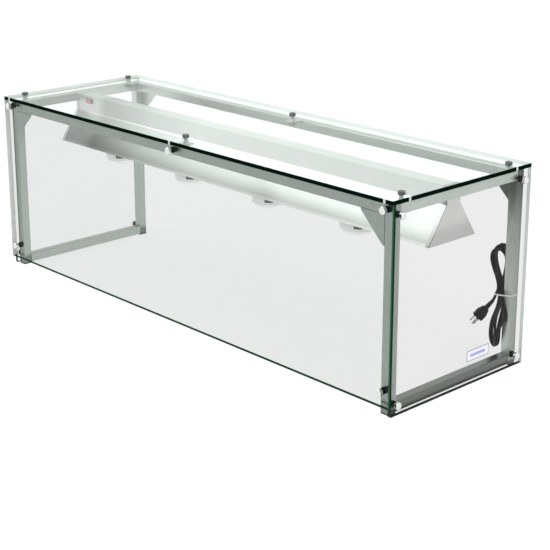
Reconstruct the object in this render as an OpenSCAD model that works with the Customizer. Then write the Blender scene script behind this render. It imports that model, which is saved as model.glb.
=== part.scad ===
// Heated glass display case that stands on a counter.
// A stainless square-tube frame carries four glass panes on standoff cap
// screws, and a lamp hood with four reflector heat lamps.
// Origin: centre of the outer footprint, on the counter. +X runs to the right
// end, -Y is the customer's side with the front pane, +Z is up.
// The back is open.

/* [Case] */
// Width over the two side panes
case_w = 1524; // [1300:4:1830]
// Depth from the front pane's face to the rear edge of the top pane
case_d = 487; // [420:1:650]
// Height from the counter to the top face of the top pane
case_h = 510; // [420:1:700]

/* [Glass] */
// Thickness of every pane
glass_t = 10; // [6:1:12]
// Height of the front pane's lower edge above the counter
front_lift = 23; // [10:1:40]
// Height of the side panes' lower edge above the counter
side_lift = 2; // [1:1:10]

/* [Frame] */
// Outer width of the square tube
tube = 25; // [20:1:40]
// Wall of the square tube
tube_wall = 1.5; // [1:0.5:3]
// Rounding of the tube's long edges
tube_r = 2; // [0.5:0.5:4]
// Gap between a side pane and the frame
side_gap = 3; // [2:1:12]
// Gap between the front pane and the frame
front_gap = 6; // [2:1:15]
// Gap between the top pane and the frame
top_gap = 5; // [2:1:15]
// Distance from the frame's rear face to the top pane's rear edge
rear_inset = 10; // [0:1:20]
// Length of a gusset's two welded edges
gusset_leg = 72; // [40:1:120]
// Thickness of a gusset plate
gusset_t = 3; // [2:0.5:5]
// Thickness of the rubber pad under a post
foot_t = 3; // [2:0.5:10]

/* [Pane fixings] */
// Diameter of a cap screw's head
cap_d = 18; // [12:1:30]
// Thickness of a cap screw's head
cap_t = 8; // [4:0.5:12]
// Diameter of a cap screw's shank
shank_d = 8; // [5:0.5:10]
// Outer diameter of a spacer ring
spacer_d = 16; // [12:1:24]
// Top pane: distance of the cap rows from the front and rear edges
top_cap_in = 55; // [50:1:120]
// Front pane: height of the lower caps
front_cap_low = 60; // [55:1:150]
// Side panes: height of the lower caps
side_cap_low = 27; // [20:1:100]

/* [Lamp hood] */
// Distance from the front pane's face to the middle of the hood
hood_mid = 250; // [200:1:300]
// Width across the hood's open mouth
mouth_w = 162; // [120:1:220]
// Height of the hood from its mouth to its top
hood_h = 134.5; // [112:0.5:160]
// Width of the wireway along the top of the hood
way_w = 45; // [36:1:80]
// Height of the wireway
way_depth = 46; // [36:1:66]
// Thickness of the hood's sheet
sheet = 1.2; // [0.8:0.1:2]
// Width of the folded hem round the mouth
hem = 10; // [5:1:20]
// Width of an end cap's outer flange
end_flange = 12; // [6:1:25]

/* [Lamps] */
// Distance between lamps
lamp_pitch = 320; // [200:5:400]
// Distance of the lamp row's middle to the left of the case's middle
lamp_shift = 56; // [0:1:120]
// Diameter of a lamp
lamp_d = 95; // [63:1:127]
// Distance of a lamp's lowest point below the hood's mouth
lamp_drop = 52.5; // [30:0.5:90]
// Outer diameter of a lampholder
holder_d = 38; // [38:1:42]

/* [Switch] */
// Distance of the switch from the case's left end
switch_in = 104; // [70:1:300]
// Tilt of the rocker to each side
rocker_tilt = 10; // [6:1:11]

/* [Cord] */
// Diameter of the power cord
cord_d = 7; // [6:0.5:9]
// Height of the cord gland on the rear right post
gland_z = 296; // [270:1:380]
// Distance of the tie below the cord gland
tie_drop = 116; // [106:1:126]

/* [Hidden] */
$fn = 48;
clear = 0.2;
// Places: distance from the left end, right end and front face of the case
front_y = (cap_t - case_d) / 2;
function from_left(a) = a - case_w / 2;
function from_right(a) = case_w / 2 - a;
function from_front(b) = front_y + b;

// Frame lines, as distances from the ends and the front face
post_in = glass_t + side_gap;
post_front = glass_t + front_gap;
post_rear = case_d - rear_inset - tube;
frame_bottom = foot_t;
frame_top = case_h - glass_t - top_gap;
rail_z = frame_top - tube;
long_rail_l = case_w - 2 * (post_in + tube);
side_rail_l = post_rear - post_front - tube;
post_mid = post_in + tube / 2;
tab_w = 30;
tab_t = 4;
tab_edge = 14;
front_tab = [post_front + tube, top_cap_in + tab_edge];
rear_tab = [case_d - top_cap_in - tab_edge, post_rear];

// Pane fixings
shank_grip = tube_wall + 6;
hole_d = shank_d + 0.4;
glass_hole_d = shank_d + 2;
cap_bevel = 1.2;
front_cap_high = rail_z + 0.6 * tube;
side_cap_high = rail_z + 3;
top_caps = [for (x = [from_left(post_mid), 0, from_right(post_mid)])
    for (b = [top_cap_in, case_d - top_cap_in]) [x, from_front(b)]];
front_caps = [
    for (x = [from_left(post_mid), 0, from_right(post_mid)]) [x, front_cap_high],
    for (x = [from_left(post_mid), from_right(post_mid)]) [x, front_cap_low]
];
side_cap_front = post_front + tube / 2;
side_cap_rear = post_rear + 9;
side_caps = [for (b = [side_cap_front, side_cap_rear])
    for (z = [side_cap_low, side_cap_high]) [from_front(b), z]];

// Hood section: half widths at the mouth and the wireway, and the slope's normal
hood_top_z = frame_top - 2;
mouth_z = hood_top_z - hood_h;
way_z = hood_top_z - way_depth;
mouth_h = mouth_w / 2;
way_h = way_w / 2;
hood_y = from_front(hood_mid);
hood_l = long_rail_l;
end_t = 1.5;
flange_t = 1;
slope_dx = mouth_h - way_h;
slope_dz = way_z - mouth_z;
slope_l = norm([slope_dx, slope_dz]);
slope_nx = slope_dz / slope_l;
slope_nz = slope_dx / slope_l;
// The hood's outline [y, z], moved outwards by g and cut off level at height z
function slope_y(g, z) = mouth_h - (slope_nz * (z - mouth_z) - g) / slope_nx;
function knee_z(g) = mouth_z + (g + slope_nx * (mouth_h - way_h - g)) / slope_nz;
function half_hood(g, z) = [
    [slope_y(g, z), z], [way_h + g, knee_z(g)], [way_h + g, hood_top_z + g]
];
function mirrored(half) = [
    for (p = half) p,
    for (i = [len(half) - 1 : -1 : 0]) [-half[i][0], half[i][1]]
];

// Lamps
lamps = 4;
lamp_low = mouth_z - lamp_drop;
lamp_x = [for (i = [0 : lamps - 1]) (i - (lamps - 1) / 2) * lamp_pitch - lamp_shift];
strip_z = way_z + 5;
strip_t = 2;
holder_z = strip_z - 42;
face_h = 19;
rim_h = 6;
bowl_h = 54;
neck_r = 17;
base_r = 13;
face_r = (pow(lamp_d / 2, 2) + pow(face_h, 2)) / (2 * face_h);
face_angle = asin(lamp_d / 2 / face_r);

// Switch
switch_x = from_left(switch_in);
switch_y = hood_y - way_h;
switch_z = hood_top_z - 14;
bezel = [31, 2, 14];
housing = [27, 22, 12];
well = [24, 11, 9.6];
rocker_w = 9.2;
pivot_in = 3;
pin_d = 3;
terminal = [0.8, 7, 4.8];
terminal_pitch = 8;
rocker_half = 11;
rocker_lip = 6.4;
rocker_dip = 4.4;
rocker_back = 4;

// Cord, given from the gland: [distance from the post's inner face, distance
// behind the post's front face, height]
function from_post(a) = from_right(post_in + tube + a);
function behind_post(b) = from_front(post_rear + b);
function place(p) = [from_post(p[0]), behind_post(p[1]), gland_z + p[2]];
gland_b = 17;
gland_l = 12;
lead_route = [
    [gland_l, gland_b, 0], [18.5, 17, 0], [29.5, 15.5, -2.2], [39, 13.5, -8.5],
    [45, 12, -18], [46.5, 11, -26], [46.5, 11, -34]
];
tail_route = [
    [10.5, -6, -98], [10.6, -8.5, -106], [10.8, -12, -114], [11.3, -17.5, -122],
    [12, -24, -131]
];
cord_sides = 10;
// Hank section in the X-Z plane: [distance from the post, height, radius]
hank_top = [27, -33, 24.5];
hank_waist = [8.5, -116, 7.5];
hank_foot = [27.5, -234, 26];
hank_front = -20;
hank_t = 54;
// Strand that bows over the post: its two sides, front, back, foot and head
hank_bow = [-14, 6, -9, -1, -216, -134];
tie_loop = [[-tube, 0], [3, -17.2], [13, -17.2], [17, -12], [17, tube], [-tube, tube]];
tie_t = 1.2;
tie_w = 3;
// Plug: it hangs down to the left and the front
plug_tip = tail_route[len(tail_route) - 1];
plug_turn = -133.7;
plug_drop = 139.5;
plug_way = [sin(plug_drop) * cos(plug_turn), sin(plug_drop) * sin(plug_turn), cos(plug_drop)];
boot_l = 25;
plug_l = 32;
blade_l = 18;

// Label on the right pane: distance from the front face, height and size
label_b = 272;
label_z = 62;
label_size = [0.4, 81, 27];

function unit(v) = v / norm(v);
// Tangent of a route at point i
function tangent(p, i) =
    unit(p[min(i + 1, len(p) - 1)] - p[max(i - 1, 0)]);
// Ring of points round a route's point, with one axis kept near level
function ring(p, i, r, n, square_to) =
    let (t = square_to == undef ? tangent(p, i) : square_to)
    let (u = unit(cross(abs(t[2]) > 0.9 ? [0, 1, 0] : [0, 0, 1], t)))
    let (w = cross(t, u))
    [for (k = [0 : n - 1]) p[i] + r * (cos(360 * k / n) * u + sin(360 * k / n) * w)];

// ---- shared shapes ----

// Rounded square drawn from its corner at the origin
module tube_outline(grow = 0) {
    r = max(tube_r + grow, 0.2);
    w = tube + 2 * grow;
    translate([-grow, -grow]) {
        translate([r, 0])
            square([w - 2 * r, w]);
        translate([0, r])
            square([w, w - 2 * r]);
        for (x = [r, w - r])
            for (y = [r, w - r])
                translate([x, y])
                    circle(r);
    }
}

// Square tube of length l along Z, open at the bottom and closed at the top if capped
module tube_z(l, capped = false) {
    difference() {
        linear_extrude(l)
            tube_outline();
        translate([0, 0, -1])
            linear_extrude(capped ? l + 1 - tube_wall : l + 2)
                tube_outline(-tube_wall);
    }
}

module steel() {
    color([0.66, 0.68, 0.67])
        children();
}

module post(x, b) {
    steel()
        difference() {
            translate([x, from_front(b), frame_bottom])
                tube_z(frame_top - frame_bottom, true);
            if (b == post_front)
                for (z = [front_cap_low, front_cap_high])
                    translate([x + tube / 2, from_front(b) - 1, z])
                        rotate([-90, 0, 0])
                            cylinder(d = hole_d, h = tube_wall + 2);
            for (c = side_caps)
                translate([x < 0 ? x - 1 : x + tube - tube_wall - 1, c[0], c[1]])
                    rotate([0, 90, 0])
                        cylinder(d = hole_d, h = tube_wall + 2);
            if (b == post_rear && x > 0)
                translate([x - 1, behind_post(gland_b), gland_z])
                    rotate([0, 90, 0])
                        cylinder(d = cord_d + 1, h = tube_wall + 2);
        }
}

module long_rail(b) {
    steel()
        difference() {
            translate([-long_rail_l / 2, from_front(b), frame_top])
                rotate([0, 90, 0])
                    tube_z(long_rail_l);
            if (b == post_front)
                translate([0, from_front(b) - 1, front_cap_high])
                    rotate([-90, 0, 0])
                        cylinder(d = hole_d, h = tube_wall + 2);
        }
}

module side_rail(x, z) {
    steel()
        difference() {
            translate([x, from_front(post_front + tube), z + tube])
                rotate([-90, 0, 0])
                    tube_z(side_rail_l);
            if (z == rail_z)
                for (c = top_caps)
                    translate([c[0], c[1], frame_top - tube_wall - 1])
                        cylinder(d = hole_d, h = tube_wall + 2);
        }
}

// Gusset between a post's inner face and the underside of a long rail; turn is 1 or -1
module gusset(x, turn, b) {
    tip = 4;
    steel()
        translate([x, from_front(b) + gusset_t, rail_z])
            rotate([90, 0, 0])
                linear_extrude(gusset_t)
                    polygon([
                        [0, 0], [turn * gusset_leg, 0], [turn * gusset_leg, -tip],
                        [turn * tip, -gusset_leg], [0, -gusset_leg]
                    ]);
}

// Flat tab welded to the inner face of a long rail, under the middle cap of the top pane
module tab(ends, hole_b) {
    steel()
        difference() {
            translate([-tab_w / 2, from_front(ends[0]), frame_top - tab_t])
                cube([tab_w, ends[1] - ends[0], tab_t]);
            translate([0, from_front(hole_b), frame_top - tab_t - 1])
                cylinder(d = hole_d, h = tab_t + 2);
        }
}

module foot(x, b) {
    rib = tube - 2 * tube_wall - 2 * clear;
    color([0.06, 0.06, 0.06]) {
        translate([x, from_front(b), 0])
            linear_extrude(foot_t)
                tube_outline();
        translate([x + (tube - rib) / 2, from_front(b) + (tube - rib) / 2, foot_t])
            cube([rib, rib, 8]);
    }
}

module glass() {
    color([0.7, 0.85, 0.78, 0.35])
        children();
}

// Cap screw along -Z: a bevelled head above z = 0 and a shank of length l below
module cap_screw(l) {
    cylinder(d = cap_d, h = cap_t - cap_bevel);
    translate([0, 0, cap_t - cap_bevel])
        cylinder(d1 = cap_d, d2 = cap_d - 2 * cap_bevel, h = cap_bevel);
    translate([0, 0, -l])
        cylinder(d = shank_d, h = l);
}

module spacer(h) {
    difference() {
        cylinder(d = spacer_d, h = h);
        translate([0, 0, -1])
            cylinder(d = hole_d, h = h + 2);
    }
}

// ---- panes ----

module glass_top() {
    glass()
        difference() {
            translate([-case_w / 2, front_y, case_h - glass_t])
                cube([case_w, case_d, glass_t]);
            for (c = top_caps)
                translate([c[0], c[1], case_h - glass_t - 1])
                    cylinder(d = glass_hole_d, h = glass_t + 2);
        }
}

module glass_front() {
    glass()
        difference() {
            translate([-case_w / 2, front_y, front_lift])
                cube([case_w, glass_t, case_h - glass_t - front_lift]);
            for (c = front_caps)
                translate([c[0], front_y - 1, c[1]])
                    rotate([-90, 0, 0])
                        cylinder(d = glass_hole_d, h = glass_t + 2);
        }
}

module side_glass(x) {
    glass()
        difference() {
            translate([x, from_front(glass_t), side_lift])
                cube([glass_t, case_d - glass_t, case_h - glass_t - side_lift]);
            for (c = side_caps)
                translate([x - 1, c[0], c[1]])
                    rotate([0, 90, 0])
                        cylinder(d = glass_hole_d, h = glass_t + 2);
        }
}

module chrome() {
    color([0.85, 0.86, 0.87])
        children();
}

module caps_top() {
    chrome()
        for (c = top_caps)
            translate([c[0], c[1], case_h])
                cap_screw(glass_t + top_gap + shank_grip);
}

module caps_front() {
    chrome()
        for (c = front_caps)
            translate([c[0], front_y, c[1]])
                rotate([90, 0, 0])
                    cap_screw(glass_t + front_gap + shank_grip);
}

module caps_sides() {
    chrome()
        for (side = [-1, 1])
            for (c = side_caps)
                translate([side * case_w / 2, c[0], c[1]])
                    rotate([0, side * 90, 0])
                        cap_screw(glass_t + side_gap + shank_grip);
}

module dark_rubber() {
    color([0.08, 0.08, 0.08])
        children();
}

module spacers_top() {
    dark_rubber()
        for (c = top_caps)
            translate([c[0], c[1], frame_top])
                spacer(top_gap);
}

module spacers_front() {
    dark_rubber()
        for (c = front_caps)
            translate([c[0], from_front(post_front), c[1]])
                rotate([90, 0, 0])
                    spacer(front_gap);
}

module spacers_sides() {
    dark_rubber()
        for (side = [-1, 1])
            for (c = side_caps)
                translate([side * (case_w / 2 - post_in), c[0], c[1]])
                    rotate([0, side * 90, 0])
                        spacer(side_gap);
}

// ---- lamp hood ----

module along_hood(x, l) {
    translate([x, hood_y, 0])
        rotate([90, 0, 90])
            linear_extrude(l)
                children();
}

// Bent sheet with an open mouth, a hem and the switch's cutout
module hood_shell() {
    l = hood_l - 2 * end_t;
    color([0.8, 0.81, 0.8])
        difference() {
            along_hood(-l / 2, l)
                difference() {
                    polygon(mirrored(half_hood(0, mouth_z)));
                    polygon(mirrored(half_hood(-sheet, mouth_z + sheet)));
                    translate([hem - mouth_h, mouth_z - 1])
                        square([mouth_w - 2 * hem, sheet + 2]);
                }
            translate([switch_x - housing[0] / 2, switch_y - 1, switch_z - housing[2] / 2])
                cube([housing[0], sheet + 2, housing[2]]);
        }
}

// End cap: a plate with a flange that laps over the outside of the shell
module hood_end(side) {
    x_out = hood_l / 2;
    color([0.8, 0.81, 0.8]) {
        along_hood(side > 0 ? x_out - end_t : -x_out, end_t)
            polygon(mirrored(half_hood(flange_t, mouth_z)));
        along_hood(side > 0 ? x_out - end_flange : end_t - x_out, end_flange - end_t)
            difference() {
                polygon(mirrored(half_hood(flange_t, mouth_z)));
                polygon(mirrored(half_hood(0, mouth_z - 1)));
            }
    }
}

// Strip that closes the wireway and carries the lampholders
module lamp_strip() {
    l = hood_l - 2 * end_t;
    w = way_w - 2 * sheet;
    color([0.75, 0.76, 0.75])
        difference() {
            translate([-l / 2, hood_y - w / 2, strip_z])
                cube([l, w, strip_t]);
            for (x = lamp_x)
                translate([x, hood_y, strip_z - 1])
                    cylinder(d = 10, h = strip_t + 2);
        }
}

module holder(i) {
    color([0.93, 0.92, 0.88])
        translate([lamp_x[i], hood_y, holder_z])
            rotate_extrude()
                polygon([
                    [base_r + 1, 0], [holder_d / 2 - 1, 0], [holder_d / 2, 1],
                    [holder_d / 2, 24], [holder_d / 2 - 4, 28], [holder_d / 2 - 4, 42],
                    [5, 42], [5, 34], [base_r + 1, 34]
                ]);
}

// Reflector lamp: domed face, rim, bowl and neck
module lamp(i) {
    steps = 8;
    color([0.95, 0.95, 0.93])
        translate([lamp_x[i], hood_y, lamp_low])
            rotate_extrude()
                polygon([
                    for (k = [0 : steps])
                        [face_r * sin(face_angle * k / steps),
                         face_r * (1 - cos(face_angle * k / steps))],
                    for (k = [0 : steps])
                        [neck_r + (lamp_d / 2 - neck_r) * cos(90 * k / steps),
                         face_h + rim_h + bowl_h * k / steps],
                    [neck_r, holder_z - lamp_low],
                    [0, holder_z - lamp_low]
                ]);
}

// Screw base with a rolled thread and a contact
module lamp_base(i) {
    turns = 5;
    pitch = 4;
    thread = 0.9;
    color([0.78, 0.7, 0.42])
        translate([lamp_x[i], hood_y, holder_z])
            rotate_extrude()
                polygon([
                    [0, 0], [base_r - thread, 0],
                    for (k = [0 : turns - 1]) each [
                        [base_r - thread, 3 + k * pitch],
                        [base_r, 4 + k * pitch],
                        [base_r, 5 + k * pitch],
                        [base_r - thread, 6 + k * pitch]
                    ],
                    [base_r - thread, 24], [6, 29], [6, 32], [0, 32]
                ]);
}

// ---- switch ----

module switch_body() {
    color([0.05, 0.05, 0.05])
        translate([switch_x, switch_y, switch_z])
            difference() {
                union() {
                    translate([-bezel[0] / 2, -bezel[1], -bezel[2] / 2])
                        cube(bezel);
                    translate([-housing[0] / 2, 0, -housing[2] / 2])
                        cube(housing);
                    for (x = [-terminal_pitch, 0, terminal_pitch])
                        translate([x - terminal[0] / 2, housing[1], -terminal[2] / 2])
                            cube(terminal);
                }
                translate([-well[0] / 2, -bezel[1] - 1, -well[2] / 2])
                    cube([well[0], well[1] + 1, well[2]]);
                translate([0, pivot_in, -well[2] / 2 - 1])
                    cylinder(d = pin_d + 0.1, h = well[2] + 2);
            }
}

// Rocker with a shallow V face and two pivot pins, left end pressed in
module switch_rocker() {
    color([0.8, 0.08, 0.05])
        translate([switch_x, switch_y + pivot_in, switch_z])
            rotate([0, 0, -rocker_tilt]) {
                translate([0, 0, -rocker_w / 2])
                    linear_extrude(rocker_w)
                        polygon([
                            [-rocker_half, -rocker_lip], [0, -rocker_dip],
                            [rocker_half, -rocker_lip], [rocker_half, 0],
                            [0, rocker_back], [-rocker_half, 0]
                        ]);
                translate([0, 0, -well[2] / 2 - 0.8])
                    cylinder(d = pin_d, h = well[2] + 1.6);
            }
}

// Three wires that lie on the strip inside the wireway
module wire_run() {
    wire_d = 3;
    start = switch_x + 20;
    for (y = [-8, 0, 8])
        color([0.15, 0.15, 0.15])
            translate([start, hood_y + y, strip_z + strip_t + wire_d / 2])
                rotate([0, 90, 0])
                    cylinder(d = wire_d, h = hood_l / 2 - 10 - start);
}

// ---- power cord ----

module black() {
    color([0.04, 0.04, 0.04])
        children();
}

// Swept tube along a route given from the gland
module cord_tube(route, end_way) {
    p = [for (q = route) place(q)];
    last = len(p) - 1;
    n = cord_sides;
    points = [for (i = [0 : last])
        each ring(p, i, cord_d / 2, n, i == 0 ? unit(p[1] - p[0]) : i == last ? end_way : undef)];
    sides = [for (i = [0 : last - 1]) for (k = [0 : n - 1])
        [i * n + k, i * n + (k + 1) % n, (i + 1) * n + (k + 1) % n, (i + 1) * n + k]];
    caps = [[for (k = [n - 1 : -1 : 0]) k], [for (k = [0 : n - 1]) last * n + k]];
    polyhedron(points, concat(sides, caps), convexity = 4);
}

module cord_gland() {
    black()
        translate([from_post(0), behind_post(gland_b), gland_z])
            rotate([0, -90, 0]) {
                cylinder(d = 15, h = 5, $fn = 6);
                translate([0, 0, 5])
                    cylinder(d1 = 13, d2 = 11, h = gland_l - 5);
            }
}

module cord_lead() {
    black()
        cord_tube(lead_route, undef);
}

module cord_tail() {
    black()
        cord_tube(tail_route, plug_way);
}

// Outline circle of the hank: [distance from the post, height, radius]
module hank_circle(c) {
    translate([from_post(c[0]), gland_z + c[1]])
        circle(c[2], $fn = 32);
}

module cord_hank() {
    black() {
        translate([0, behind_post(hank_front + hank_t), 0])
            rotate([90, 0, 0])
                linear_extrude(hank_t) {
                    hull() {
                        hank_circle(hank_top);
                        hank_circle(hank_waist);
                    }
                    hull() {
                        hank_circle(hank_waist);
                        hank_circle(hank_foot);
                    }
                }
        translate([from_post(hank_bow[1]), behind_post(hank_bow[2]), gland_z + hank_bow[4]])
            cube([hank_bow[1] - hank_bow[0], hank_bow[3] - hank_bow[2],
                  hank_bow[5] - hank_bow[4]]);
    }
}

// Puts a plug piece, drawn along +Z from the cord's end, in its hanging place
module hang_plug() {
    translate(place(plug_tip))
        rotate([0, plug_drop, plug_turn])
            children();
}

module plug_body() {
    black()
        hang_plug() {
            cylinder(d1 = 9, d2 = 13, h = boot_l);
            translate([0, 0, boot_l])
                hull() {
                    translate([-9, -6, 0])
                        cube([18, 12, 1]);
                    translate([-13.5, -9, 12])
                        cube([27, 18, plug_l - 12]);
                }
        }
}

module plug_blades() {
    color([0.8, 0.75, 0.55])
        hang_plug()
            translate([0, 0, boot_l + plug_l]) {
                for (x = [-6.35, 6.35])
                    translate([x - 0.75, -6.2, 0])
                        cube([1.5, 6.3, blade_l]);
                translate([0, 5.7, 0])
                    cylinder(d = 4.8, h = blade_l + 2);
            }
}

// Flat tie round the post and the waist of the hank
module tie_outline() {
    polygon([for (p = tie_loop) [from_post(p[0]), behind_post(p[1])]]);
}

module cord_tie() {
    color([0.93, 0.93, 0.9])
        translate([0, 0, gland_z - tie_drop - tie_w / 2])
            linear_extrude(tie_w)
                difference() {
                    offset(tie_t)
                        tie_outline();
                    tie_outline();
                }
}

// Blank rating label on the outside of the right pane
module label() {
    color([0.85, 0.87, 0.95])
        translate([case_w / 2, from_front(label_b), label_z])
            cube(label_size);
}

// ---- build ----

post(from_left(post_in), post_front);  // post_fl
post(from_right(post_in + tube), post_front);  // post_fr
post(from_left(post_in), post_rear);  // post_rl
post(from_right(post_in + tube), post_rear);  // post_rr
long_rail(post_front);  // rail_top_front
long_rail(post_rear);  // rail_top_rear
side_rail(from_left(post_in), rail_z);  // rail_top_left
side_rail(from_right(post_in + tube), rail_z);  // rail_top_right
side_rail(from_left(post_in), frame_bottom);  // rail_bottom_left
side_rail(from_right(post_in + tube), frame_bottom);  // rail_bottom_right
gusset(from_left(post_in + tube), 1, post_front);  // gusset_fl
gusset(from_right(post_in + tube), -1, post_front);  // gusset_fr
gusset(from_left(post_in + tube), 1, post_rear + tube - gusset_t);  // gusset_rl
gusset(from_right(post_in + tube), -1, post_rear + tube - gusset_t);  // gusset_rr
tab(front_tab, top_cap_in);  // tab_front
tab(rear_tab, case_d - top_cap_in);  // tab_rear
foot(from_left(post_in), post_front);  // foot_fl
foot(from_right(post_in + tube), post_front);  // foot_fr
foot(from_left(post_in), post_rear);  // foot_rl
foot(from_right(post_in + tube), post_rear);  // foot_rr
glass_top();
glass_front();
side_glass(-case_w / 2);  // glass_left
side_glass(case_w / 2 - glass_t);  // glass_right
caps_top();
caps_front();
caps_sides();
spacers_top();
spacers_front();
spacers_sides();
hood_shell();
hood_end(-1);  // hood_end_left
hood_end(1);  // hood_end_right
lamp_strip();
holder(0);  // holder_1
holder(1);  // holder_2
holder(2);  // holder_3
holder(3);  // holder_4
lamp(0);  // lamp_1
lamp(1);  // lamp_2
lamp(2);  // lamp_3
lamp(3);  // lamp_4
lamp_base(0);  // lamp_base_1
lamp_base(1);  // lamp_base_2
lamp_base(2);  // lamp_base_3
lamp_base(3);  // lamp_base_4
switch_body();
switch_rocker();
wire_run();
cord_gland();
cord_lead();
cord_hank();
cord_tail();
plug_body();
plug_blades();
cord_tie();
label();
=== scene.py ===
"""Heated glass display case: materials, lamps, power cord, plug, camera and light."""
import math

import bpy
from mathutils import Matrix, Vector


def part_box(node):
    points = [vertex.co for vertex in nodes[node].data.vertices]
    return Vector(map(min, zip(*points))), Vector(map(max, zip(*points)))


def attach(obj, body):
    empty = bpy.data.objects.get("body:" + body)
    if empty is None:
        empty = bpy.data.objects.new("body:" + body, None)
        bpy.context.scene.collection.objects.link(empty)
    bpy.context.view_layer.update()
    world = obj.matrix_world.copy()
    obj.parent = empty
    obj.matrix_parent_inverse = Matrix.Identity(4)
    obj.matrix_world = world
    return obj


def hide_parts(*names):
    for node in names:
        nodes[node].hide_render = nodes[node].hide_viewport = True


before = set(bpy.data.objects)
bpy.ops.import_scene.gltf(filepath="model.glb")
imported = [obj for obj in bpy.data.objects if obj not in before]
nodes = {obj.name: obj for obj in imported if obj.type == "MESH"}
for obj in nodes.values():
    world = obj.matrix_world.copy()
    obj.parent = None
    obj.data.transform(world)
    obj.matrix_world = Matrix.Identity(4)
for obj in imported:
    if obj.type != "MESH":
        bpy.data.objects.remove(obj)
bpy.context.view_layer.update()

MM = 0.001
X, Y, Z = range(3)
scene = bpy.context.scene


# ---- places taken from the frame ----

def middle(node):
    low, high = (Vector(corner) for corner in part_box(node))
    return (low + high) / 2


RIGHT_POST = Vector(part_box("post_rr")[0])
GLAND_Z = middle("cord_gland").z


def from_gland(a, b, z):
    """a mm left of the rear right post's inner face, b mm behind its front face, z mm above the gland."""
    return Vector((RIGHT_POST.x - a * MM, RIGHT_POST.y + b * MM, GLAND_Z + z * MM))


# ---- camera ----

FRAME_PX = 550
SENSOR = 36.0
CAMERA_AT = Vector((2.6693, -2.3690, 1.3254))
CAMERA_AZIMUTH = 46.92
CAMERA_DOWN = 16.29
FOCAL_PX = 1385.0
SHIFT_Y = -0.12


def make_camera():
    data = bpy.data.cameras.new("camera")
    data.sensor_width = SENSOR
    data.lens = FOCAL_PX / FRAME_PX * SENSOR
    data.shift_y = SHIFT_Y
    data.clip_end = 200
    camera = bpy.data.objects.new("camera", data)
    scene.collection.objects.link(camera)
    turn = Matrix.Rotation(math.radians(CAMERA_AZIMUTH), 4, "Z")
    tilt = Matrix.Rotation(math.radians(90 - CAMERA_DOWN), 4, "X")
    camera.matrix_world = Matrix.Translation(CAMERA_AT) @ turn @ tilt
    scene.camera = camera


make_camera()


# ---- materials ----

def new_material(name):
    """A material with an empty tree, its Principled shader and its output."""
    m = bpy.data.materials.new(name)
    m.use_nodes = True
    tree = m.node_tree
    tree.nodes.clear()
    shader = tree.nodes.new("ShaderNodeBsdfPrincipled")
    out = tree.nodes.new("ShaderNodeOutputMaterial")
    tree.links.new(shader.outputs[0], out.inputs[0])
    return m, tree, shader, out


def noise(tree, scale, detail=3.0, stretch=(1, 1, 1)):
    """Noise in the row frame, in cycles a metre, stretched along the axes."""
    place = tree.nodes.new("ShaderNodeTexCoord")
    fit = tree.nodes.new("ShaderNodeMapping")
    fit.inputs["Scale"].default_value = stretch
    tree.links.new(place.outputs["Object"], fit.inputs["Vector"])
    tex = tree.nodes.new("ShaderNodeTexNoise")
    tex.inputs["Scale"].default_value = scale
    tex.inputs["Detail"].default_value = detail
    tree.links.new(fit.outputs[0], tex.inputs["Vector"])
    return tex.outputs["Fac"]


def spread(tree, source, low, high, at=(0.3, 0.7)):
    """The 0 to 1 source spread from low to high."""
    r = tree.nodes.new("ShaderNodeMapRange")
    r.inputs["From Min"].default_value, r.inputs["From Max"].default_value = at
    r.inputs["To Min"].default_value, r.inputs["To Max"].default_value = low, high
    tree.links.new(source, r.inputs["Value"])
    return r.outputs[0]


def shades(tree, source, stops):
    """A colour ramp over source, with stops [(place, colour), ...]."""
    ramp = tree.nodes.new("ShaderNodeValToRGB")
    while len(ramp.color_ramp.elements) < len(stops):
        ramp.color_ramp.elements.new(0.5)
    for element, (place, colour) in zip(ramp.color_ramp.elements, stops):
        element.position = place
        element.color = (*colour, 1)
    tree.links.new(source, ramp.inputs[0])
    return ramp.outputs[0]


def bump(tree, shader, source, height, strength=1.0):
    b = tree.nodes.new("ShaderNodeBump")
    b.inputs["Distance"].default_value = height
    b.inputs["Strength"].default_value = strength
    tree.links.new(source, b.inputs["Height"])
    tree.links.new(b.outputs[0], shader.inputs["Normal"])


def math_node(tree, operation, a, b=None):
    n = tree.nodes.new("ShaderNodeMath")
    n.operation = operation
    for socket, value in zip(n.inputs, (a, b)):
        if value is None:
            continue
        if isinstance(value, (int, float)):
            socket.default_value = value
        else:
            tree.links.new(value, socket)
    return n.outputs[0]


def tone(colour, k):
    return tuple(c * k for c in colour)


def brushed(name, colour, grain, rough=(0.24, 0.38), height=4e-6):
    """Brushed metal: fine lines along the grain axis, and faint cloudy wear."""
    m, tree, shader, _ = new_material(name)
    stretch = [1.0, 1.0, 1.0]
    stretch[grain] = 0.012
    lines = noise(tree, 2600, 2.0, stretch)
    cloud = noise(tree, 9, 3.0)
    mixed = math_node(tree, "ADD", math_node(tree, "MULTIPLY", lines, 0.65),
                      math_node(tree, "MULTIPLY", cloud, 0.35))
    tint = shades(tree, mixed, [(0.3, tone(colour, 0.90)), (0.7, tone(colour, 1.07))])
    tree.links.new(tint, shader.inputs["Base Color"])
    tree.links.new(spread(tree, mixed, *rough), shader.inputs["Roughness"])
    shader.inputs["Metallic"].default_value = 1.0
    bump(tree, shader, lines, height, 0.5)
    return m


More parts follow.
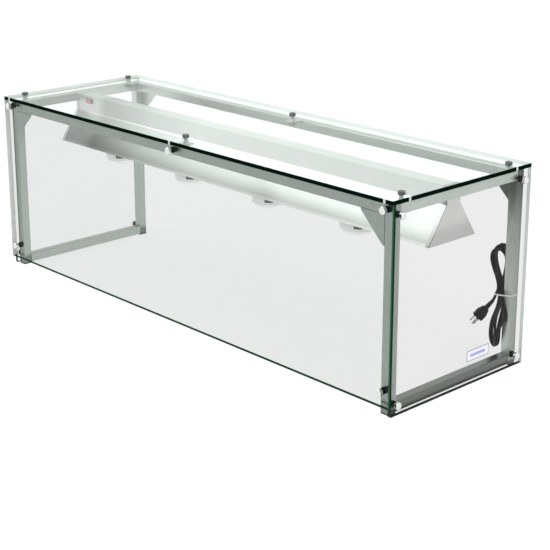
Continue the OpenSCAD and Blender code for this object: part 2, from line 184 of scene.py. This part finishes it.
def plain(name, colour, rough, metallic=0.0, grain=900, height=2e-5, vary=0.08, coat=0.0,
          gloss=0.5):
    """An even surface with a fine grain, in shade, roughness and height."""
    m, tree, shader, _ = new_material(name)
    fine = noise(tree, grain, 2.0)
    tint = shades(tree, fine, [(0.3, tone(colour, 1 - vary)), (0.7, tone(colour, 1 + vary))])
    tree.links.new(tint, shader.inputs["Base Color"])
    tree.links.new(spread(tree, fine, rough * 0.85, rough * 1.15), shader.inputs["Roughness"])
    shader.inputs["Metallic"].default_value = metallic
    shader.inputs["Coat Weight"].default_value = coat
    shader.inputs["Coat Roughness"].default_value = 0.08
    shader.inputs["Specular IOR Level"].default_value = gloss
    bump(tree, shader, fine, height, 0.6)
    return m


def object_place(tree):
    """The X, Y and Z of a point on the object."""
    coords = tree.nodes.new("ShaderNodeTexCoord")
    place = tree.nodes.new("ShaderNodeSeparateXYZ")
    tree.links.new(coords.outputs["Object"], place.inputs[0])
    return place.outputs


def principled(m):
    return next(n for n in m.node_tree.nodes if n.type == "BSDF_PRINCIPLED")


def near(tree, value, places, reach):
    """1 where value is within reach of one of the places."""
    hits = None
    for place in places:
        away = math_node(tree, "ABSOLUTE", math_node(tree, "SUBTRACT", value, place))
        hit = math_node(tree, "LESS_THAN", away, reach)
        hits = hit if hits is None else math_node(tree, "MAXIMUM", hits, hit)
    return hits


def blend_colour(tree, factor, a, b):
    n = tree.nodes.new("ShaderNodeMix")
    n.data_type = "RGBA"
    tree.links.new(factor, n.inputs["Factor"])
    for socket, value in ((n.inputs[6], a), (n.inputs[7], b)):
        if isinstance(value, tuple):
            socket.default_value = (*value, 1)
        else:
            tree.links.new(value, socket)
    return n.outputs[2]


def mix_shader(tree, factor, a, b):
    n = tree.nodes.new("ShaderNodeMixShader")
    for socket, value in zip(n.inputs, (factor, a, b)):
        tree.links.new(value, socket)
    return n.outputs[0]


MIRROR_HEAD_ON, MIRROR_GLANCING, MIRROR_POWER = 0.002, 0.5, 5.0


def pane(name, thin, tint, stops, along, low, high, patches=()):
    """Clear glass: see-through faces across the thin axis, and green edges graded along an axis with
    painted light and shade.

    patches are (axis, places, reach, colour), where painted light gives the edge another colour."""
    m, tree, edge, out = new_material(name)
    coords = tree.nodes.new("ShaderNodeTexCoord")
    normal = tree.nodes.new("ShaderNodeSeparateXYZ")
    tree.links.new(coords.outputs["Normal"], normal.inputs[0])
    is_face = math_node(tree, "GREATER_THAN",
                        math_node(tree, "ABSOLUTE", normal.outputs[thin]), 0.7)
    place = object_place(tree)
    colour = shades(tree, spread(tree, place[along], 0, 1, (low, high)), stops)
    for axis, places, reach, other in patches:
        colour = blend_colour(tree, near(tree, place[axis], places, reach), colour, other)
    tree.links.new(colour, edge.inputs["Base Color"])
    edge.inputs["Roughness"].default_value = 0.25
    edge.inputs["Specular IOR Level"].default_value = 0.0

    weight = tree.nodes.new("ShaderNodeLayerWeight")
    weight.inputs["Blend"].default_value = 0.5
    glancing = math_node(tree, "POWER", weight.outputs["Facing"], MIRROR_POWER)
    mirror = math_node(tree, "ADD", math_node(tree, "MULTIPLY", glancing, MIRROR_GLANCING), MIRROR_HEAD_ON)
    clear = tree.nodes.new("ShaderNodeBsdfTransparent")
    clear.inputs[0].default_value = (*tint, 1)
    gloss = tree.nodes.new("ShaderNodeBsdfGlossy")
    gloss.inputs["Roughness"].default_value = 0.02
    gloss.inputs["Color"].default_value = (1, 1, 1, 1)
    face = mix_shader(tree, mirror, clear.outputs[0], gloss.outputs[0])
    tree.links.new(mix_shader(tree, is_face, edge.outputs[0], face), out.inputs[0])
    return m


STEEL = (0.475, 0.515, 0.485)
HOOD = (0.57, 0.573, 0.568)
# Tints of one glass that differ from pane to pane, as painted shade: the front and right panes darker, the
# top and left ones nearly clear
TOP_TINT = (0.965, 0.990, 0.972)
FRONT_TINT = (0.868, 0.876, 0.871)
SIDE_TINT = (0.874, 0.876, 0.874)
LEFT_TINT = (0.985, 0.988, 0.985)

tube_x = brushed("brushed_tube_x", STEEL, X)
tube_y = brushed("brushed_tube_y", STEEL, Y)
tube_z = brushed("brushed_tube_z", STEEL, Z)
# Copies of the tube steel in other tones: the 0.55 and 0.40 copies are painted shade, the 1.6 copy is
# painted light
tube_shade = brushed("brushed_tube_shade", tone(STEEL, 0.55), Y)
tube_painted_light = brushed("brushed_tube_painted_light", tone(STEEL, 1.6), Y)
gusset_shade = brushed("brushed_gusset_shade", tone(STEEL, 0.40), Z)
hood_steel = brushed("hood_steel", HOOD, X, (0.30, 0.42), 2e-6)
# The hood's ends are copies of the hood steel in other tones: the left end a little darker, painted shade;
# the right end lighter, painted light, with painted shade laid on it further down
hood_end_painted_shade = brushed("hood_end_painted_shade", tone(HOOD, 0.9), Z, (0.30, 0.42), 2e-6)
hood_end_painted_light_and_shade = brushed("hood_end_painted_light_and_shade", tone(HOOD, 1.6), Z, (0.30, 0.42), 2e-6)
post_shade = brushed("brushed_post_shade", STEEL, Z)
cap_steel = plain("cap_steel", (0.72, 0.73, 0.73), 0.16, metallic=1.0, grain=1500, height=2e-6)
cap_dark = plain("cap_dark", (0.10, 0.11, 0.105), 0.35, grain=1500, height=2e-6)
rubber = plain("pad_rubber", (0.012, 0.013, 0.013), 0.62, height=4e-5, vary=0.2, gloss=0.15)
ceramic = plain("holder_ceramic", (0.80, 0.79, 0.75), 0.22, grain=120, height=3e-5, vary=0.03, coat=0.5)
screw_brass = plain("screw_brass", (0.66, 0.52, 0.28), 0.28, metallic=1.0, grain=400, height=6e-6)
blade_metal = plain("blade_metal", (0.42, 0.42, 0.40), 0.20, metallic=1.0, grain=700, height=4e-6)
switch_black = plain("switch_black", (0.018, 0.018, 0.019), 0.38, grain=1800, height=1e-5, vary=0.15)
rocker_red = plain("rocker_red", (0.62, 0.025, 0.015), 0.22, grain=500, height=3e-6, vary=0.05, coat=0.4)
cord_black = plain("cord_black", (0.006, 0.006, 0.0065), 0.5, grain=700, height=3e-5, vary=0.2,
                   gloss=0.25)
plug_black = plain("plug_black", (0.006, 0.006, 0.0065), 0.42, grain=1600, height=2e-5, vary=0.2,
                   gloss=0.25)
tie_white = plain("tie_white", (0.82, 0.83, 0.81), 0.35, grain=500, height=1e-5, vary=0.03)
wire_black = plain("wire_black", (0.05, 0.05, 0.05), 0.4)
frost = plain("lamp_frost", (0.95, 0.95, 0.95), 0.42, grain=2200, height=1e-5, vary=0.03)
silver = plain("lamp_silver", (0.93, 0.93, 0.925), 0.16, metallic=0.35, grain=300, height=4e-6, vary=0.03)

# ---- glass edges: green from one face of the pane to the other ----

# The stops lay painted shade and light over the green of the glass: the top pane's edge near black, the
# front pane's edge lighter towards its front face
EDGE_TOP = [(0.0, (0.006, 0.09, 0.03)), (0.07, (0.003, 0.015, 0.008)), (0.14, (0.001, 0.005, 0.004)),
            (0.9, (0.002, 0.007, 0.005)), (1.0, (0.010, 0.022, 0.017))]
EDGE_FRONT = [(0.0, (0.05, 0.13, 0.08)), (0.35, (0.02, 0.08, 0.045)), (0.55, (0.002, 0.030, 0.008)),
              (1.0, (0.001, 0.026, 0.006))]
EDGE_SIDE = [(0.0, (0.02, 0.03, 0.025)), (1.0, (0.03, 0.045, 0.035))]
# Painted light: a pale strip on the pane edges that face away, where they are seen through the glass
PAINTED_LIGHT_EDGE = (0.88, 0.92, 0.90)
# Painted light: pale patches on the top pane's edge where the cap holes show through it
PAINTED_LIGHT_NOTCH = (0.50, 0.56, 0.53)
SKIN = 0.5 * MM


def pane_of(node, thin, stops, along, tint, patches=()):
    low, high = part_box(node)
    return pane("pane_" + node, thin, tint, stops, along, low[along], high[along], patches)


def side_pane(node):
    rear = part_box(node)[1][1]
    tint = LEFT_TINT if node == "glass_left" else SIDE_TINT
    return pane_of(node, X, EDGE_SIDE, X, tint, [(Y, (rear,), SKIN, PAINTED_LIGHT_EDGE)])


CAP_R, RECESS_R = 9 * MM, 3.5 * MM
top_low, top_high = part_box("caps_top")
CAP_X = (top_low[0] + CAP_R, 0.0, top_high[0] - CAP_R)
CAP_Y = (top_low[1] + CAP_R, top_high[1] - CAP_R)


# ---- painted light and shade, and marks, by place on the object ----

LABEL_RIM = 1.8 * MM
# The bar's half width and half height, as shares of the label's
LABEL_BAR = (0.34, 0.13)


def label_paint():
    """Pale film with a thin border and a plain bar in place of any mark."""
    m, tree, shader, _ = new_material("label_film")
    low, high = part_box("label")
    place = object_place(tree)
    centre = middle("label")
    bar = math_node(tree, "MULTIPLY",
                    near(tree, place[Y], (centre.y,), (high[Y] - low[Y]) * LABEL_BAR[0]),
                    near(tree, place[Z], (centre.z,), (high[Z] - low[Z]) * LABEL_BAR[1]))
    rim = math_node(tree, "MAXIMUM", near(tree, place[Y], (low[Y], high[Y]), LABEL_RIM),
                    near(tree, place[Z], (low[Z], high[Z]), LABEL_RIM))
    colour = blend_colour(tree, bar, (0.74, 0.75, 0.82), (0.30, 0.31, 0.70))
    colour = blend_colour(tree, rim, colour, (0.20, 0.20, 0.24))
    tree.links.new(colour, shader.inputs["Base Color"])
    shader.inputs["Roughness"].default_value = 0.3
    return m


def paint_light_and_shade_along(m, node, axis, stops):
    """Paints light and shade into a material's colour: multiplies it by grey stops [(place, grey), ...]
    along the node's box.
    """
    low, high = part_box(node)
    tree = m.node_tree
    grey = shades(tree, spread(tree, object_place(tree)[axis], 0, 1, (low[axis], high[axis])),
                  [(at, (v, v, v)) for at, v in stops])
    n = tree.nodes.new("ShaderNodeMix")
    n.data_type = "RGBA"
    n.blend_type = "MULTIPLY"
    n.inputs["Factor"].default_value = 1.0
    socket = principled(m).inputs["Base Color"]
    tree.links.new(socket.links[0].from_socket, n.inputs[6])
    tree.links.new(grey, n.inputs[7])
    tree.links.new(n.outputs[2], socket)


def paint_recess_shade(m):
    """Painted shade: a near-black disc in the middle of each top cap, where its recess is."""
    tree = m.node_tree
    place = object_place(tree)
    socket = principled(m).inputs["Base Color"]
    recess = math_node(tree, "MULTIPLY", near(tree, place[X], CAP_X, RECESS_R),
                       near(tree, place[Y], CAP_Y, RECESS_R))
    tree.links.new(blend_colour(tree, recess, socket.links[0].from_socket, (0.004, 0.004, 0.004)), socket)


# Painted reflections and shade on the hood: darker streaks at its left end and a lighter middle along X;
# along Z a bright line at the lower lip, a darker band above it and a much lighter top
paint_light_and_shade_along(hood_steel, "hood_shell", X, [(0.0, 0.62), (0.07, 0.75), (0.10, 0.5), (0.14, 0.62),
                                          (0.25, 0.95), (0.4, 1.12), (1.0, 0.98)])
paint_light_and_shade_along(hood_steel, "hood_shell", Z, [(0.0, 1.05), (0.03, 1.05), (0.05, 0.80), (0.22, 0.92),
                                          (0.62, 0.92), (0.65, 1.45)])
# Painted shade on the right end: darker towards the bottom and away from its outer face; a thin near-black
# line runs just inside the outer face
paint_light_and_shade_along(hood_end_painted_light_and_shade, "hood_end_right", Z, [(0.0, 0.80), (0.22, 0.84), (0.35, 1.0), (1.0, 1.02)])
paint_light_and_shade_along(hood_end_painted_light_and_shade, "hood_end_right", X, [(0.0, 0.5), (0.80, 0.5), (0.84, 0.1), (0.975, 0.1),
                                                 (0.99, 1.0)])
# Painted shade: the rear right post darker towards its top
paint_light_and_shade_along(post_shade, "post_rr", Z, [(0.45, 1.1), (0.72, 0.9), (0.92, 0.35)])
# Painted shade: the posts in this material darker near the floor
paint_light_and_shade_along(tube_z, "post_fr", Z, [(0.0, 0.42), (0.035, 0.5), (0.06, 1.0)])
paint_recess_shade(cap_dark)
label_film = label_paint()


# ---- which material each CAD node wears ----

PAINT = {
    "post_rr": post_shade,
    "post_fl post_fr post_rl gusset_fl gusset_fr gusset_rl": tube_z,
    "gusset_rr": gusset_shade,
    "rail_top_front rail_top_rear": tube_x,
    "rail_top_left rail_bottom_left tab_front tab_rear": tube_y,
    "rail_top_right": tube_painted_light,
    "rail_bottom_right": tube_shade,
    "foot_fl foot_fr foot_rl foot_rr spacers_front spacers_sides": rubber,
    "caps_front caps_sides spacers_top": cap_steel,
    "caps_top": cap_dark,
    "hood_shell lamp_strip": hood_steel,
    "hood_end_left": hood_end_painted_shade,
    "hood_end_right": hood_end_painted_light_and_shade,
    "holder_1 holder_2 holder_3 holder_4": ceramic,
    "lamp_base_1 lamp_base_2 lamp_base_3 lamp_base_4": screw_brass,
    "switch_body": switch_black,
    "switch_rocker": rocker_red,
    "wire_run": wire_black,
    "cord_tie": tie_white,
    "label": label_film,
    "glass_top": pane_of("glass_top", Z, EDGE_TOP, Z, TOP_TINT, [
        (X, CAP_X, RECESS_R, PAINTED_LIGHT_NOTCH), (Y, CAP_Y, RECESS_R, PAINTED_LIGHT_NOTCH),
        (X, (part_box("glass_top")[0][0],), SKIN, PAINTED_LIGHT_EDGE),
        (Y, (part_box("glass_top")[1][1],), SKIN, PAINTED_LIGHT_EDGE)]),
    "glass_front": pane_of("glass_front", Y, EDGE_FRONT, Y, FRONT_TINT, [
        (X, (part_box("glass_front")[0][0],), SKIN, PAINTED_LIGHT_EDGE)]),
    "glass_left": side_pane("glass_left"),
    "glass_right": side_pane("glass_right"),
}
for names, material in PAINT.items():
    for name in names.split():
        nodes[name].data.materials.clear()
        nodes[name].data.materials.append(material)


# ---- power cord, from the gland to the plug ----

CORD_D = 7.0
FOLD_STEPS = 6
# A B-spline runs inside its points, so a fold's points stand this much further out
OUTSET = 1.047
TOP_Z, FOOT_Z, WAIST_Z = -33.5, -234.5, -116.0
# Places seen from above, as (a, b): the head's right and left legs, the waist and the foot's legs
HEAD_RIGHT = {"front": (4, 11), "middle": (4, 18), "back": (4, 25)}
HEAD_LEFT = {"lead": (47.5, 18.5), "front": (49.5, 11.5), "middle": (50, 25.5), "back": (50, 31.5)}
WAIST_RIGHT = {"front": (4.5, -3), "middle": (4.5, 11), "back": (4.5, 18)}
WAIST_LEFT = {"lead": (12, 0.5), "middle": (12, 7.5), "back": (12, 14.5)}
FOOT_LEFT = {"lead": (47.5, 16.5), "middle": (47.5, 23.5), "back": (43.5, 30.5)}
FOOT_RIGHT = {"front": (6.5, -16), "middle": (6.5, -9), "back": (6.5, -2)}
FOOT_LIFT = {"lead": 0.0, "middle": 0.0, "back": 13.0}
# Down by one leg, round the foot, up by another, and round the head
TURNS = [("lead", "middle"), ("middle", "back"), ("back", "front")]
BOW_A, BOW_B = -10.5, -4.5
TAIL = [(10.6, -7, -103), (10.8, -10.5, -111), (11.1, -15.5, -119), (12, -24, -131)]


def ease(u):
    return u ** 3 * (10 - 15 * u + 6 * u * u)


def between(near, far, steps):
    """Points after near up to far that leave and arrive upright."""
    points = []
    for k in range(1, steps + 1):
        u = k / steps
        points.append([near[0] + (far[0] - near[0]) * ease(u),
                       near[1] + (far[1] - near[1]) * ease(u),
                       near[2] + (far[2] - near[2]) * u])
    return points


def fold(start, end, z, sign):
    """Half turn from start to end, upwards with sign 1 and downwards with sign -1."""
    middle_a, middle_b = (start[0] + end[0]) / 2, (start[1] + end[1]) / 2
    half_a, half_b = (start[0] - end[0]) / 2, (start[1] - end[1]) / 2
    r = math.hypot(half_a, half_b)
    points = []
    for k in range(FOLD_STEPS + 1):
        angle = math.pi * k / FOLD_STEPS
        across = math.cos(angle) * OUTSET
        points.append([middle_a + half_a * across, middle_b + half_b * across,
                       z + sign * r * OUTSET * math.sin(angle)])
    return points


def cord_route():
    """Gland, down the left, three folds at the foot and three at the head, then the plug."""
    straight, bend = 18.5, 29.0
    points = [[12, 17, 0], [15, 17, 0], [straight, 17, 0]]
    lead = HEAD_LEFT["lead"]
    for k in range(1, 5):
        angle = math.radians(22.5 * k)
        points.append([straight + bend * math.sin(angle), 17 + (lead[1] - 17) * k / 4,
                       bend * (math.cos(angle) - 1)])
    start = [*lead, -bend]
    for down, up in TURNS:
        foot_z = FOOT_Z + FOOT_LIFT[down]
        waist = [*WAIST_LEFT[down], WAIST_Z]
        points += between(start, waist, 5)
        points += between(waist, [*FOOT_LEFT[down], foot_z], 7)[:-1]
        points += fold(FOOT_LEFT[down], FOOT_RIGHT[up], foot_z, -1)
        waist = [*WAIST_RIGHT[up], WAIST_Z]
        if up == "front":
            bow = [BOW_A, BOW_B, (foot_z + WAIST_Z) / 2 - 8]
            points += between([*FOOT_RIGHT[up], foot_z], bow, 3) + between(bow, waist, 4)
        else:
            points += between([*FOOT_RIGHT[up], foot_z], waist, 6)
        points += between(waist, [*HEAD_RIGHT[up], TOP_Z], 5)[:-1]
        points += fold(HEAD_RIGHT[up], HEAD_LEFT[up], TOP_Z, 1)
        start = [*HEAD_LEFT[up], TOP_Z]
    return points + between(start, TAIL[0], 5) + [list(p) for p in TAIL[1:]]


def tube_curve(name, points, radius, material):
    """Round tube along a cubic B-spline through its first and last points."""
    data = bpy.data.curves.new(name, "CURVE")
    data.dimensions = "3D"
    data.bevel_depth = radius
    data.bevel_resolution = 5
    data.resolution_u = 6
    data.use_fill_caps = True
    spline = data.splines.new("NURBS")
    spline.points.add(len(points) - 1)
    for p, co in zip(spline.points, points):
        p.co = (*co, 1)
    spline.order_u = 4
    spline.use_endpoint_u = True
    piece = bpy.data.objects.new(name, data)
    scene.collection.objects.link(piece)
    data.materials.append(material)
    return piece


def mesh_piece(name, points, faces, materials, smooth=True, which=None):
    data = bpy.data.meshes.new(name)
    data.from_pydata([tuple(p) for p in points], [], faces)
    for material in materials if isinstance(materials, list) else [materials]:
        data.materials.append(material)
    for i, face in enumerate(data.polygons):
        face.use_smooth = smooth
        if which:
            face.material_index = which[i]
    piece = bpy.data.objects.new(name, data)
    scene.collection.objects.link(piece)
    return piece


def lathe(name, profile, place, materials, sides=64, which=None):
    """Turned piece from profile [(radius, height), ...]; place puts its axis, drawn along +Z."""
    points, faces, marks = [], [], []
    for r, h in profile:
        for k in range(sides):
            angle = 2 * math.pi * k / sides
            points.append(place @ Vector((r * math.cos(angle), r * math.sin(angle), h)))
    for i in range(len(profile) - 1):
        for k in range(sides):
            n = (k + 1) % sides
            faces.append((i * sides + k, i * sides + n, (i + 1) * sides + n, (i + 1) * sides + k))
            marks.append(which(i) if which else 0)
    return mesh_piece(name, points, faces, materials, True, marks)


def finish_piece(piece, body, slot, *replaced):
    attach(piece, body)
    if replaced:
        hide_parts(*replaced)
    return piece


cord = tube_curve("power_cord", [from_gland(*p) for p in cord_route()], CORD_D / 2 * MM, cord_black)
finish_piece(cord, "case", "cord_cover", "cord_lead", "cord_hank", "cord_tail")

# Gland nut and tapered strain relief, along -X from the post
RELIEF = [(0, 0), (8.5, 0), (8.5, 4.5), (7.2, 5.5), (7.2, 9), (6.2, 10.5), (6.2, 12)]
RELIEF_RINGS, RELIEF_END = 4, 27.0
for ring in range(RELIEF_RINGS):
    at = 12 + (RELIEF_END - 12) * ring / RELIEF_RINGS
    r = 5.6 - 1.7 * ring / RELIEF_RINGS
    RELIEF += [(r, at), (r, at + 2.2), (r - 0.55, at + 2.6), (r - 0.55, at + 3.4)]
RELIEF += [(3.8, RELIEF_END), (3.4, RELIEF_END)]
relief_place = Matrix.Translation(from_gland(0, 17, 0)) @ Matrix.Rotation(math.radians(-90), 4, "Y")
relief = lathe("cord_relief", [(r * MM, h * MM) for r, h in RELIEF], relief_place, plug_black, 36)
finish_piece(relief, "case", "cord_cover", "cord_gland")

# Plug, drawn along +Z from the cord's end
PLUG_TURN, PLUG_DROP = -133.7, 139.5
plug_place = (Matrix.Translation(from_gland(*TAIL[-1]))
              @ Matrix.Rotation(math.radians(PLUG_TURN), 4, "Z")
              @ Matrix.Rotation(math.radians(PLUG_DROP), 4, "Y"))


def rounded(w, d, r, steps=6):
    """Outline of a rounded rectangle, w by d."""
    points = []
    for cx, cy, start in ((1, 1, 0), (-1, 1, 90), (-1, -1, 180), (1, -1, 270)):
        for k in range(steps + 1):
            angle = math.radians(start + 90 * k / steps)
            points.append((cx * (w / 2 - r) + r * math.cos(angle),
                           cy * (d / 2 - r) + r * math.sin(angle)))
    return points


def loft(name, sections, place, material):
    """Closed form through sections [(height, w, d, corner radius), ...], in mm."""
    points, faces = [], []
    for h, w, d, r in sections:
        points += [place @ Vector((x * MM, y * MM, h * MM)) for x, y in rounded(w, d, r)]
    n = len(points) // len(sections)
    for i in range(len(sections) - 1):
        for k in range(n):
            m = (k + 1) % n
            faces.append((i * n + k, i * n + m, (i + 1) * n + m, (i + 1) * n + k))
    faces.append(tuple(range(n - 1, -1, -1)))
    faces.append(tuple(range((len(sections) - 1) * n, len(sections) * n)))
    return mesh_piece(name, points, faces, material, False)


BOOT = [(0.0, 8.6, 8.6, 4.2)]
for ring in range(5):
    h, w = 1.0 + 4.6 * ring, 9.0 + 0.8 * ring
    BOOT += [(h, w, w, w / 2 - 0.1), (h + 2.6, w + 0.4, w + 0.4, w / 2)]
    BOOT += [(h + 3.0, w - 1.4, w - 1.4, w / 2 - 0.8), (h + 4.0, w - 1.4, w - 1.4, w / 2 - 0.8)]
GRIP = [(24.5, 13, 12, 5.5), (25.5, 18, 12.4, 5), (27.5, 20, 13.2, 5), (31, 21.5, 14, 5), (36, 24, 16, 5),
        (37.5, 26.4, 17.4, 5), (39, 27, 18, 5), (53, 27, 18, 5), (55.6, 27, 18, 5), (56.6, 26, 17, 4.6),
        (57.0, 25, 16, 4.2)]
plug = loft("plug_grip", BOOT + GRIP, plug_place, plug_black)
finish_piece(plug, "case", "plug_plastic", "plug_body")


def blade(name, x):
    """Flat blade with a rounded tip and a hole."""
    length, width, thick, hole = 18.0, 6.3, 1.5, 1.6
    outline = [(-width / 2, 0), (width / 2, 0), (width / 2, length - 1.5), (width / 2 - 1.2, length),
               (-width / 2 + 1.2, length), (-width / 2, length - 1.5)]
    steps = 16
    ring = [(hole * math.cos(2 * math.pi * k / steps), 13.5 + hole * math.sin(2 * math.pi * k / steps))
            for k in range(steps)]
    data = bpy.data.curves.new(name, "CURVE")
    data.dimensions = "2D"
    data.fill_mode = "BOTH"
    data.extrude = thick / 2 * MM
    for path in (outline, ring):
        spline = data.splines.new("POLY")
        spline.points.add(len(path) - 1)
        for p, (u, v) in zip(spline.points, path):
            p.co = (u * MM, v * MM, 0, 1)
        spline.use_cyclic_u = True
    piece = bpy.data.objects.new(name, data)
    scene.collection.objects.link(piece)
    data.materials.append(blade_metal)
    stand = Matrix.Rotation(math.radians(90), 4, "Z") @ Matrix.Rotation(math.radians(90), 4, "X")
    piece.matrix_world = plug_place @ Matrix.Translation(Vector((x, -3.05, 57)) * MM) @ stand
    return piece


blades = [blade("plug_blade_1", -6.35), blade("plug_blade_2", 6.35)]
PIN = [(0, 0), (2.4, 0), (2.4, 17), (2.1, 18.6), (1.3, 19.7), (0, 20)]
pin_place = plug_place @ Matrix.Translation(Vector((0, 5.7, 57)) * MM)
blades.append(lathe("plug_pin", [(r * MM, h * MM) for r, h in PIN], pin_place, blade_metal, 24))
for piece in blades:
    finish_piece(piece, "case", "blade_brass")
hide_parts("plug_blades")


# ---- lamps ----

def lamp_profile(radius):
    """Dome, rim, bowl and neck of a reflector lamp, from its lowest point up, in metres."""
    face_h, rim_h, bowl_h, neck, top = 19 * MM, 6 * MM, 54 * MM, 17 * MM, 104 * MM
    ball = (radius ** 2 + face_h ** 2) / (2 * face_h)
    half = math.asin(radius / ball)
    points = [(ball * math.sin(half * k / 16), ball * (1 - math.cos(half * k / 16))) for k in range(17)]
    points[-1] = (radius - 0.6 * MM, face_h - 0.3 * MM)
    points += [(radius, face_h + 0.8 * MM), (radius, face_h + rim_h)]
    dome = len(points) - 2
    for k in range(1, 17):
        points.append((neck + (radius - neck) * math.cos(math.pi / 2 * k / 16),
                       face_h + rim_h + bowl_h * k / 16))
    return points + [(neck, top)], dome


LAMPS = range(1, 5)
LAMP_GLOW = 0.12
# The patch's middle, right of the lamp's and above its lowest point, and its half width and height
PATCH_ACROSS, PATCH_UP, PATCH_REACH = 6 * MM, 31.5 * MM, (11 * MM, 4.5 * MM)
# Level direction along which the patch's width is measured
PATCH_WAY = (0.8, 0.6)


def mark_lamps(m):
    """A small unlettered dark patch on each lamp's bowl, above its rim at the front right."""
    centres = [middle(f"lamp_{i}") for i in LAMPS]
    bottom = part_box("lamp_1")[0][Z]
    tree = m.node_tree
    place = object_place(tree)
    socket = principled(m).inputs["Base Color"]
    along = math_node(tree, "ADD", math_node(tree, "MULTIPLY", place[X], PATCH_WAY[0]),
                      math_node(tree, "MULTIPLY", place[Y], PATCH_WAY[1]))
    places = [c.x * PATCH_WAY[0] + c.y * PATCH_WAY[1] + PATCH_ACROSS for c in centres]
    patch = math_node(tree, "MULTIPLY", near(tree, along, places, PATCH_REACH[0]),
                      near(tree, place[Z], (bottom + PATCH_UP,), PATCH_REACH[1]))
    patch = math_node(tree, "MULTIPLY", patch, math_node(tree, "LESS_THAN", place[Y], centres[0].y))
    tree.links.new(blend_colour(tree, patch, socket.links[0].from_socket, (0.015, 0.015, 0.015)), socket)


for paint in (frost, silver):
    shader = principled(paint)
    shader.inputs["Emission Color"].default_value = (1, 1, 1, 1)
    shader.inputs["Emission Strength"].default_value = LAMP_GLOW
mark_lamps(silver)
for i in LAMPS:
    low, high = (Vector(corner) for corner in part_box(f"lamp_{i}"))
    centre = (low + high) / 2
    profile, dome = lamp_profile((high.x - low.x) / 2)
    place = Matrix.Translation((centre.x, centre.y, low.z))
    bulb = lathe(f"bulb_{i}", profile, place, [frost, silver], 72, lambda row: 0 if row < dome else 1)
    finish_piece(bulb, "case", "lamp_face", f"lamp_{i}")


# ---- floor and light ----

def floor_white():
    """White paper that glows a little, so that shadows on it stay faint."""
    m, tree, shader, _ = new_material("floor_white")
    shader.inputs["Base Color"].default_value = (0.12, 0.12, 0.12, 1)
    shader.inputs["Roughness"].default_value = 0.9
    shader.inputs["Specular IOR Level"].default_value = 0.0
    shader.inputs["Emission Color"].default_value = (1, 1, 1, 1)
    shader.inputs["Emission Strength"].default_value = 0.95
    return m


FLOOR = 60.0
corners = [(-FLOOR, -FLOOR, 0), (FLOOR, -FLOOR, 0), (FLOOR, FLOOR, 0), (-FLOOR, FLOOR, 0)]
floor = mesh_piece("floor", corners, [(0, 1, 2, 3)], floor_white(), False)

world = bpy.data.worlds.new("studio")
world.use_nodes = True
background = world.node_tree.nodes["Background"]
background.inputs[0].default_value = (1, 1, 1, 1)
background.inputs[1].default_value = 1.0
scene.world = world


LIT_POINT = Vector((0, 0, 0.3))


def softbox(name, at, size, power):
    """A rectangular light at a place, turned to the case."""
    data = bpy.data.lights.new(name, "AREA")
    data.shape = "RECTANGLE"
    data.size, data.size_y = size
    data.energy = power
    lamp = bpy.data.objects.new(name, data)
    scene.collection.objects.link(lamp)
    lamp.location = at
    lamp.rotation_euler = (LIT_POINT - Vector(at)).to_track_quat("-Z", "Y").to_euler()


softbox("key", (-2.5, -3.0, 4.0), (3.0, 3.0), 90)
softbox("fill", (3.5, -1.0, 3.0), (2.5, 2.5), 40)
scene.view_settings.view_transform = "Standard"
